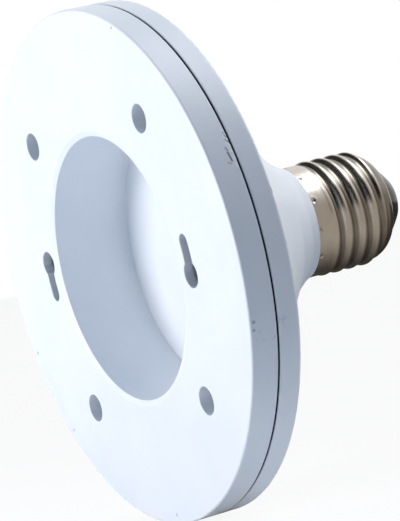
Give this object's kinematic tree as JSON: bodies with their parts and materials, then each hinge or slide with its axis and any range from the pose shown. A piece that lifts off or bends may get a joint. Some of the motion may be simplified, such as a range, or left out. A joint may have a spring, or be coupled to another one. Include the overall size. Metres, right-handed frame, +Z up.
{
  "type": "lamp base adapter",
  "caption": "Disc-shaped lamp socket with a deep round recess and two keyholes, on a flared neck that ends in a screw cap.",
  "frame": {"origin": "tip of the screw cap, on the adapter's axis", "axes": "+Y along the axis out of the screw cap's end, the socket face looks towards -Y, the two keyholes lie on +X and -X, +Z up"},
  "size_m": [0.115, 0.0709, 0.115],
  "materials": {
    "white_plastic": "satin moulded white plastic",
    "nickel_shell": "bright nickel plate on rolled sheet",
    "black_insulator": "glossy near-black insulator",
    "contact_brass": "plain rolled brass",
    "solder": "dull solder",
    "screw_steel": "zinc-plated steel",
    "lead_insulation": "matt lead insulation"
  },
  "bodies": {
    "root": {"front_cover": "white_plastic", "rear_housing": "white_plastic", "screw_shell": "nickel_shell", "cap_insulator": "black_insulator", "centre_contact": "contact_brass", "centre_solder": "solder", "live_contact": "contact_brass", "neutral_contact": "contact_brass", "live_terminal": "contact_brass", "neutral_terminal": "contact_brass", "live_lead": "lead_insulation", "neutral_lead": "lead_insulation", "side_solder": "solder", "contact_rivet_1": "contact_brass", "contact_rivet_2": "contact_brass", "contact_rivet_3": "contact_brass", "contact_rivet_4": "contact_brass", "cover_screw_1": "screw_steel", "cover_screw_2": "screw_steel", "cover_screw_3": "screw_steel", "cover_screw_4": "screw_steel"}
  },
  "joints": []
}
